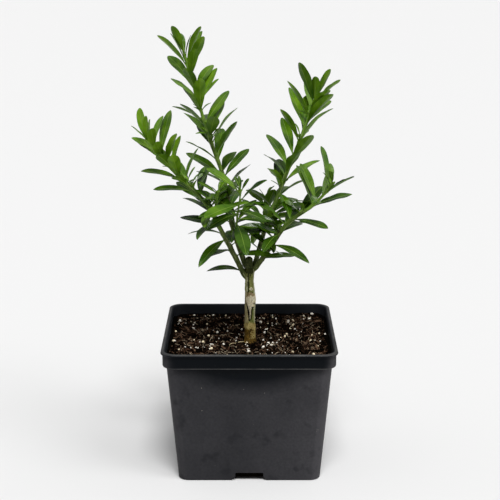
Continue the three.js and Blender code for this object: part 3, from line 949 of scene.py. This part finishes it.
def make_stub():
    """The pruned leader: a rough dead stub with a rounded, cracked end."""
    rings = []
    for share in np.arange(34) / 33:
        z = mix(STUB_FOOT - 1, STUB_TOP - 0.3, share)
        radius = mix(*STUB_RADII, share) * (1 - 0.5 * smooth(0.86, 1, share)**2)
        ring = []
        for turn in full_turn(40):
            x, y = cos(turn), sin(turn)
            spot = (6 * x, 6 * y, 0.4 * z)
            r = radius + 0.3 * noise_at(spot, 1.6, 2) + 0.15 * noise_at((6 * x, 6 * y, z), 0.7)
            ring.append((STUB_X + r * x, r * y, z + 0.3 * noise_at(spot, 2, 7) * share))
        rings.append(ring)
    close_over(rings, (0.6, 0.2), -0.2)
    shapes = Shapes()
    shapes.add(*loft(rings), 0)
    looks = mottled("dead_wood", (44, 52, 24), (92, 98, 58), 0.8, 0.9, 0.4, 0.1)
    shapes.make("pruned_stub", [looks], "cut_wood", ("leader_stub",))


# ---- Pot ----

POT_PLAIN, POT_EDGE_HIGHLIGHT, POT_PAINTED_LIGHT_INSIDE = range(3)


def squared_ring(half, z, corner, corner_steps=10, side_steps=1):
    """A level ring of points round a square with rounded corners."""
    corner = min(corner, half)
    straight = half - corner
    ring = []
    for quarter, (right, back) in enumerate(((1, 1), (-1, 1), (-1, -1), (1, -1))):
        start = quarter * pi / 2
        for step in range(corner_steps + 1):
            turn = start + step / corner_steps * pi / 2
            x, y = straight * right, straight * back
            ring.append((x + corner * cos(turn), y + corner * sin(turn), z))
        last = np.array(ring[-1])
        far = 2 * straight * np.array([cos(start + pi), sin(start + pi), 0])
        ring += [tuple(last + far * k / side_steps) for k in range(1, side_steps)]
    return ring


def body_half_at(z):
    return mix(FOOT_HALF, BODY_TOP_HALF, z / BAND_FOOT)


def corner_at(half):
    return mix(FOOT_CORNER, LIP_CORNER, (half - FOOT_HALF) / (LIP_HALF - FOOT_HALF))


def rounded(centre, radius, start, end, steps):
    """Points of an arc in a profile: half widths and heights, from one angle to another."""
    x, z = centre
    turns = [radians(mix(start, end, k / steps)) for k in range(steps + 1)]
    return [(x + radius * cos(turn), z + radius * sin(turn)) for turn in turns]


def prism(outline, low, high):
    """A shape in X and Z, carried along Y from low to high."""
    return loft([[(x, y, z) for x, z in outline] for y in (low, high)])


def cutter(corners, loops):
    """A hidden object for a Boolean cut: a shape, turned to each of the pot's four sides."""
    points, faces = [], []
    for side in range(4):
        ct, st = cos(side * pi / 2), sin(side * pi / 2)
        faces += [tuple(len(points) + i for i in loop) for loop in loops]
        points += [(x * ct - y * st, x * st + y * ct, z) for x, y, z in corners]
    mesh = bpy.data.meshes.new("cutter")
    mesh.from_pydata(np.array(points) * MM, [], faces)
    shape = bmesh.new()
    shape.from_mesh(mesh)
    bmesh.ops.recalc_face_normals(shape, faces=shape.faces)
    shape.to_mesh(mesh)
    shape.free()
    return add_object("cutter", mesh)


def carve(piece, tool, operation):
    """Joins a tool to a piece or cuts it away, and removes the tool."""
    modifier = piece.modifiers.new("carve", "BOOLEAN")
    modifier.object = tool
    modifier.operation = operation
    modifier.solver = "EXACT"
    bpy.context.view_layer.update()
    graph = bpy.context.evaluated_depsgraph_get()
    mesh = bpy.data.meshes.new_from_object(piece.evaluated_get(graph))
    piece.modifiers.clear()
    piece.data = mesh
    bpy.data.objects.remove(tool)


def pot_profile():
    """The wall's outline from the middle of the underside, up the outside and down the inside.

    Its second part gives the look of each stretch, from one point to the next.
    """
    bead = BEAD_HEIGHT / 2
    lip = (LIP_HALF - bead, BAND_TOP + bead)
    mouth = BAND_HALF - WALL
    stretches = (
        ([
            *rounded((FOOT_HALF - FOOT_ROUND, FOOT_ROUND), FOOT_ROUND, -90, 0, 4),
            (body_half_at(BAND_FOOT - 0.4), BAND_FOOT - 0.4),
            (BODY_TOP_HALF, BAND_FOOT),
        ], POT_PLAIN),
        # The ledge's edge, painted pale as a highlight.
        ([
            (BAND_HALF - LEDGE_STEP, BAND_FOOT),
            (BAND_HALF - 0.2, BAND_FOOT + 0.2),
        ], POT_EDGE_HIGHLIGHT),
        ([
            (BAND_HALF, BAND_FOOT + LEDGE_HEIGHT),
            (BAND_HALF, BAND_TOP - 0.3),
            (BAND_HALF + 0.2, BAND_TOP),
            *rounded(lip, bead, -75, 15, 5),
        ], POT_PLAIN),
        # The bead's top, painted pale as a highlight.
        (rounded(lip, bead, 30, 90, 4), POT_EDGE_HIGHLIGHT),
        # The inside, painted lighter as painted light.
        ([
            *rounded((mouth + 0.9, POT_HEIGHT - 0.9), 0.9, 90, 180, 4),
            (mouth, BAND_FOOT + WALL + 0.3),
            (mouth - 0.3, BAND_FOOT + WALL),
            (BODY_TOP_HALF - WALL, BAND_FOOT + INNER_LEDGE),
            (body_half_at(FLOOR) - WALL, FLOOR),
        ], POT_PAINTED_LIGHT_INSIDE),
    )
    outline = [point for points, _ in stretches for point in points]
    return outline, [look for points, look in stretches for _ in points]


def make_pot():
    outline, stretch_looks = pot_profile()
    points, faces = loft([squared_ring(half, z, corner_at(half)) for half, z in outline])
    around = (len(faces) - 2) // (len(outline) - 1)
    slots = [look for look in stretch_looks[:-1] for _ in range(around)]
    shapes = Shapes()
    shapes.add(points, faces, slots + [POT_PLAIN, POT_PLAIN])
    # The inside wall is painted lighter than bare black plastic, as painted light falling into the
    # pot.
    lit_inside = mottled("pot_inside_painted_light", (28, 31, 35), (42, 44, 49), 0.5, 0.05, 0.05, 0.1)
    looks = [plastic(), edge_highlight_plastic(), lit_inside]
    piece = shapes.make("nursery_pot", looks, "pot_plastic", ("pot",))

    # Each notch gets a roof inside the wall, is cut out of both, and has a drain hole in its roof.
    back = NOTCH_DEPTH - FOOT_HALF
    half, top = NOTCH_HALF + NOTCH_ROOF, NOTCH_HEIGHT + NOTCH_ROOF
    roof = [(-half, FLOOR / 2), (half, FLOOR / 2), (half, top), (-half, top)]
    carve(piece, cutter(*prism(roof, WALL / 2 - FOOT_HALF, back + NOTCH_ROOF)), "UNION")
    right = [(NOTCH_FLARE_HALF, -2)]
    for u in np.arange(7) / 6:
        bend = NOTCH_HALF + NOTCH_FLARE_BEND
        x = mix(mix(NOTCH_FLARE_HALF, bend, u), mix(bend, NOTCH_HALF, u), u)
        right.append((x, NOTCH_FLARE_HEIGHT * u * u))
    right += [(NOTCH_HALF, NOTCH_HEIGHT - 0.6), (NOTCH_HALF - 0.6, NOTCH_HEIGHT)]
    outline = right + [(-x, z) for x, z in reversed(right)]
    carve(piece, cutter(*prism(outline, -FOOT_HALF - 5, back)), "DIFFERENCE")
    hole = [
        (DRAIN_RADIUS * cos(turn), DRAIN_RADIUS * sin(turn) + DRAIN_INSET - FOOT_HALF)
        for turn in full_turn(32)
    ]
    ends = (NOTCH_HEIGHT - 3, top + 3)
    carve(piece, cutter(*loft([[(x, y, z) for x, y in hole] for z in ends])), "DIFFERENCE")
    piece.data.polygons.foreach_set("use_smooth", np.ones(len(piece.data.polygons), bool))
    crisp_edges(piece.data, 28)


def plastic():
    """Black plastic with painted light: shade under the band, highlights at the corners and right,
    smudges and a few specks.
    """
    finish = Finish("pot_black_plastic", 0.5, 0.07)
    spot = finish.spot()
    axes = finish.axes(spot)
    reach = [finish.maths("ABSOLUTE", axes[axis]) for axis in "XY"]
    nearer, farther = (finish.maths(pick, *reach) for pick in ("MINIMUM", "MAXIMUM"))
    across = finish.maths("DIVIDE", nearer, farther)  # 0 at the middle of a side and 1 at a corner
    # The painted shadow under the band ends in an arc that is lowest in the middle of each side.
    arc = finish.maths("MULTIPLY_ADD", finish.product(across, across), -0.02, axes["Z"])
    # Painted shade under the band: near 0 just under it, near 1 lower down.
    low = finish.span(arc, 0.96, 0.06, 0.069, 0.084)
    painted_light = low
    # Painted highlights on the rounded corners.
    for share in (finish.span(across, 0, 0.25, 0.3, 0.9), finish.span(across, 0, 0.7, 0.86, 0.97)):
        painted_light = finish.maths("ADD", painted_light, share)
    band_corner_highlight = finish.span(across, 0.12, 0.75, 0.84, 0.97)
    cloud = finish.noise(24, 4, spot)
    smudged_painted_light = finish.product(
        finish.maths("MINIMUM", painted_light, 1.5),
        # The band is painted darker than the body, but with painted highlights at its corners.
        finish.span(axes["Z"], 1, band_corner_highlight, (BAND_FOOT - 0.6) * MM, (BAND_FOOT + 0.2) * MM),
        # Painted light from the right: lighter towards +X, darker towards -X.
        finish.span(axes["X"], 0.82, 1.24, -0.06, 0.06),
        finish.span(cloud, 0.437, 0.575, 0.35, 0.6),
        finish.span(finish.noise(70, 2, spot), 0.58, 1, 0.27, 0.42),
        finish.span(finish.noise(520, 2, spot), 0.9, 1.12),
    )
    specks = finish.node("ShaderNodeTexVoronoi", {"Vector": spot, "Scale": 260, "Randomness": 1})
    flecks = finish.product(
        finish.span(specks.outputs["Distance"], 1, 0, 0.06, 0.1),
        finish.span(finish.noise(90, 1, spot), 0, 1, 0.63, 0.67),
        low,
    )
    body = finish.blend(smudged_painted_light, (4, 8, 13), (68, 67, 70))
    finish.colour(finish.blend(flecks, body, (128, 124, 118)))
    finish.gloss(finish.span(cloud, 0.44, 0.58))
    finish.relief(finish.noise(900, 2, spot), 0.03, 0.5)
    finish.relief(finish.noise(45, 3, spot), 0.12, 0.4)
    return finish.material


def edge_highlight_plastic():
    """The rim's and the ledge's edges, painted pale as a highlight."""
    finish = Finish("pot_edge_highlight", 0.4, 0.3)
    spot = finish.spot()
    finish.colour(finish.ramp(finish.noise(70, 3, spot), (36, 37, 39), (70, 69, 68), 0.35, 0.65))
    finish.relief(finish.noise(500, 2, spot), 0.05, 0.5)
    return finish.material


# ---- Soil ----

INNER_HALF = BAND_HALF - WALL - CLEARANCE
SOIL_RINGS = 66
SOIL_CORNER_STEPS = 8
SOIL_SIDE_STEPS = 56
DULL = 0.02  # the specular level of soil and fibres

# Banks and hollows: a height, the middle and the reach.
SOIL_BANKS = ((2.2, 34, 40, 22), (1.2, -20, 44, 16), (-3.4, 56, -44, 11), (-1.6, -46, 14, 18))

# Litter: names, dark and light tones, and roughness.
CHIPS = (
    ("chip_black", (2, 1, 0), (10, 6, 3), 0.9),
    ("chip_black_2", (4, 2, 1), (18, 11, 6), 0.92),
    ("chip_dark", (11, 7, 4), (30, 20, 13), 0.9),
    ("chip_dark_2", (20, 12, 8), (50, 34, 24), 0.9),
    ("chip_brown", (40, 26, 18), (84, 60, 45), 0.88),
    ("chip_tan", (66, 48, 36), (118, 94, 74), 0.88),
)
PERLITE = (
    ("perlite_white", (250, 242, 226), (255, 251, 240), 0.8),
    ("perlite_cream", (240, 222, 182), (254, 240, 208), 0.8),
)
FIBRES = (
    ("fibre_dark", (20, 13, 9), (44, 32, 24), 0.9),
    ("fibre_brown", (62, 42, 30), (108, 80, 60), 0.85),
    ("fibre_tan", (112, 88, 68), (168, 142, 118), 0.85),
    ("fibre_pale", (158, 138, 112), (216, 200, 172), 0.85),
)
FIBRE_COUNT = 1300
FIBRE_SEED = 77
FIBRE_START = 54  # how far out a fibre starts
FIBRE_EDGE = 58  # and how far out it runs

CHUNK_CORNERS = 12
TRUNK_ROOM = 5.4  # how near to the trunk's middle lumps lie
CORNER_MIDDLE = 52  # the middle and the reach of the arc that holds lumps in the pot's corners
CORNER_REACH = 8.5

# The pale root that shows at the trunk's left: places on the soil and lifts over it.
ROOT = ((-4, -3, 1.0), (-8, -4.5, 1.3), (-11, -6, 1.0), (-14, -9.5, 0.9), (-15.5, -12, 0.2))


def soil_height(x, y):
    """The soil's surface: gentle lumps, a rise at the walls, banks and hollows."""
    share = max(abs(x), abs(y)) / INNER_HALF
    seat = min(1, max(0, hypot(x, y) - 5) / SOIL_SEAT)
    waves = sin(0.21 * x + 1) * cos(0.17 * y) + 0.6 * sin(0.13 * x - 0.3 * y)
    crumble = 1.5 * noise_at((x, y, 0), 9) + 0.8 * noise_at((x, y, 4), 3.4)
    lumps = (SOIL_UNEVENNESS * waves + crumble) * (1 - 0.6 * share**3)
    for height, across, back, reach in SOIL_BANKS:
        lumps += height * bump(hypot(x - across, y - back), 0, reach)
    return SOIL_LEVEL - CLEARANCE + SOIL_EDGE_RISE * share**3 + seat * lumps


def make_soil():
    foot = FLOOR + CLEARANCE
    gap = WALL + CLEARANCE

    def ring(half, z, corner):
        return squared_ring(half, z, corner, SOIL_CORNER_STEPS, SOIL_SIDE_STEPS)

    levels = (
        (body_half_at(foot), foot),
        (BODY_TOP_HALF, BAND_FOOT + INNER_LEDGE),
        (BAND_HALF, BAND_FOOT + WALL + CLEARANCE),
    )
    rings = [ring(half - gap, z, corner_at(half) - gap) for half, z in levels]
    for k in range(SOIL_RINGS):
        share = 1 - k / SOIL_RINGS
        rings.append([
            (x, y, soil_height(x, y) + 0.4 * noise_at((x, y, 9), 1.3))
            for x, y, _ in ring(INNER_HALF * share, 0, (corner_at(BAND_HALF) - gap) * share)
        ])
    shapes = Shapes()
    shapes.add(*loft(rings), 0)
    looks = mottled("soil_peat", (2, 1, 0), (9, 6, 3), 0.95, 0.4, 0.5, DULL)
    shapes.make("soil_body", [looks], "soil", ("potting_soil",))


def chunk_shape():
    """The corners and faces of a plain lump with twenty sides."""
    golden = (1 + 5**0.5) / 2
    corners = []
    for a in (-1, 1):
        for b in (-golden, golden):
            corners += [(0, a, b), (a, b, 0), (b, 0, a)]
    corners = np.array(corners) / hypot(1, golden)
    faces = []
    for i, j, k in combinations(range(CHUNK_CORNERS), 3):
        sides = (corners[i] - corners[j], corners[j] - corners[k], corners[k] - corners[i])
        if max(np.linalg.norm(side) for side in sides) < 1.1:
            outward = np.cross(sides[0], sides[1]).dot(corners[i]) > 0
            faces.append((i, j, k) if outward else (i, k, j))
    return corners, faces


def turned(random, tilt):
    """A random turn about the vertical with a tilt of up to an angle, as a 3 by 3 matrix."""
    turn = TAU * random.next()
    lean, roll = (radians(random.spread(tilt)) for _ in range(2))
    ct, st, cl, sl, cr, sr = (f(a) for a in (turn, lean, roll) for f in (cos, sin))
    about_z = np.array([[ct, -st, 0], [st, ct, 0], [0, 0, 1]])
    about_y = np.array([[cl, 0, sl], [0, 1, 0], [-sl, 0, cl]])
    about_x = np.array([[1, 0, 0], [0, cr, -sr], [0, sr, cr]])
    return about_z @ about_y @ about_x


def scatter(name, looks, count, sizes, tilt, seed, boxy=0.8, raised=(0.1, 0.9)):
    """Jagged lumps strewn over the soil.

    Sizes are the least and greatest length, width and thickness.
    """
    random = Stream(seed)
    corners, faces = chunk_shape()
    shapes = Shapes()
    reach = INNER_HALF - 1.2
    while shapes.count < count * CHUNK_CORNERS:
        x, y = random.spread(reach), random.spread(reach)
        size = random.next()**2
        halves = np.array([mix(*pair, size) * random.between(0.8, 1.2) / 2 for pair in sizes])
        if hypot(x, y) < TRUNK_ROOM + halves[0]:
            continue
        edge = reach - halves[0]
        x, y = max(-edge, min(edge, x)), max(-edge, min(edge, y))
        if hypot(*(max(0, abs(v) - CORNER_MIDDLE + halves[0]) for v in (x, y))) > CORNER_REACH:
            continue
        lump = np.sign(corners) * np.abs(corners)**boxy
        lump *= [[1 + random.spread(0.24) for _ in range(3)] for _ in range(CHUNK_CORNERS)]
        rest = soil_height(x, y) + halves[2] * random.between(*raised)
        lump = (lump * halves) @ turned(random, tilt).T + (x, y, rest)
        # Lumps are picked lighter towards +X and darker towards -X: painted light and shade.
        shapes.add(lump, faces, int(random.next()**(1.68 - 0.38 * x / reach) * len(looks)))
    shapes.make(name, looks, "soil", ("potting_soil",), sharp=10)


def make_litter():
    bark = [mottled(*look, 0.8, 0.3, DULL) for look in CHIPS]
    pale = [mottled(*look, 1, 0.1) for look in PERLITE]
    scatter("bark_chips", bark, 2300, ((1.6, 6.4), (0.6, 2.2), (0.4, 1.3)), 40, 11, 0.6)
    scatter("soil_crumbs", bark, 6500, ((0.6, 2), (0.5, 1.5), (0.5, 1.4)), 60, 23)
    scatter("perlite", pale, 220, ((1, 2.8), (0.9, 2.4), (0.8, 2)), 60, 37, raised=(0.7, 1.4))


def add_strand(shapes, points, radius, slot, sides=6, steps=10):
    """A thin bent strand that tapers to both ends."""
    curve = Curve(points)
    rings = []
    for k in range(steps + 1):
        t = k / steps
        taper = radius * (0.35 + 0.65 * sin(pi * min(max(t, 0.06), 0.94)))
        rings.append(curve.point(t) + circle(curve.tangent(t), full_turn(sides)) * taper)
    shapes.add(*loft(rings), slot)


def make_fibres():
    random = Stream(FIBRE_SEED)
    shapes = Shapes()
    for _ in range(FIBRE_COUNT):
        x, y = random.spread(FIBRE_START), random.spread(FIBRE_START)
        if hypot(x, y) < 8:
            continue
        heading = TAU * random.next()
        reach = random.between(1.5, 7)
        points = []
        for _ in range(4):
            points.append((x, y, soil_height(x, y) + random.between(0.5, 2.4)))
            heading += random.spread(0.7)
            x = max(-FIBRE_EDGE, min(FIBRE_EDGE, x + reach / 3 * cos(heading)))
            y = max(-FIBRE_EDGE, min(FIBRE_EDGE, y + reach / 3 * sin(heading)))
        radius = random.between(0.07, 0.2)
        add_strand(shapes, points, radius, int(len(FIBRES) * random.next()**2.1))
    looks = [mottled(*look, 1.2, 0.1, DULL) for look in FIBRES]
    shapes.make("soil_fibres", looks, "soil", ("potting_soil",))


def make_surface_root():
    shapes = Shapes()
    points = [(x, y, soil_height(x, y) + lift) for x, y, lift in ROOT]
    add_strand(shapes, points, 0.5, 0, 10, 26)
    looks = mottled("root_skin", (166, 146, 104), (212, 196, 156), 0.7, 1, 0.1)
    shapes.make("surface_root", [looks], "soil", ("potting_soil",))


# ---- Stage ----

CAMERA_PLACE = (0.0005, -0.9375, 0.4081)
CAMERA_PITCH = 14.45
LENS = 91.0
SENSOR = 36
FLOOR_REACH = 30
WHITE = (1.0, 1.0, 1.0, 1)
PALE_GREY = (0.8, 0.8, 0.8, 1)

# A soft studio, bright overhead and at the sides and dim towards the camera's side. In each row
# the light goes from the first strength to the second between two shares of a direction.
STUDIO = (
    ("Z", 0.14, 0.34, 0.1, 0.75),
    ("Y", 0.6, 1.0, -0.9, 0.1),
    ("Y", 1.0, 1.5, 0.5, 0.9),
    ("X", 1.0, 3, 0.45, 0.95),
    ("X", 1.8, 1.0, -0.95, -0.45),
)

# Soft lights: a name, a strength, an apparent width in degrees and a direction.
SUNS = (("key", 0.75, 30, (0.8, -0.5, 0.9)), ("front", 2.35, 22, (0.05, -0.55, 1.0)))


def make_world():
    world = bpy.data.worlds.new("studio")
    world.use_nodes = True
    sky = Nodes(world.node_tree)
    axes = sky.axes(sky.node("ShaderNodeTexCoord").outputs["Generated"])
    shares = [sky.span(axes[row[0]], *row[1:], interpolation_type="SMOOTHSTEP") for row in STUDIO]
    background = sky.tree.nodes["Background"]
    sky.feed(background.inputs["Strength"], sky.product(*shares))
    background.inputs["Color"].default_value = WHITE
    bpy.context.scene.world = world


def make_stage():
    mesh = bpy.data.meshes.new("floor")
    corners = [(x, y, 0) for x, y in ((-1, -1), (1, -1), (1, 1), (-1, 1))]
    mesh.from_pydata(np.array(corners) * FLOOR_REACH, [], [(0, 1, 2, 3)])
    looks = Finish("pale_floor", 0.9, 0.1)
    looks.colour(PALE_GREY)
    mesh.materials.append(looks.material)
    floor = add_object("floor", mesh)

    make_world()
    for name, strength, width, direction in SUNS:
        light = bpy.data.lights.new(name, "SUN")
        light.energy = strength
        light.angle = radians(width)
        turn = Vector(direction).to_track_quat("Z", "Y").to_euler()
        add_object(name, light).rotation_euler = turn

    camera = bpy.data.cameras.new("camera")
    camera.lens = LENS
    camera.sensor_width = SENSOR
    holder = add_object("camera", camera)
    holder.location = CAMERA_PLACE
    holder.rotation_euler = (radians(90 - CAMERA_PITCH), 0, 0)
    bpy.context.scene.camera = holder
    bpy.context.scene.view_settings.view_transform = "Standard"


make_stage()
make_pot()
make_soil()
make_litter()
make_fibres()
make_surface_root()
make_trunk()
make_stub()
make_shoots()
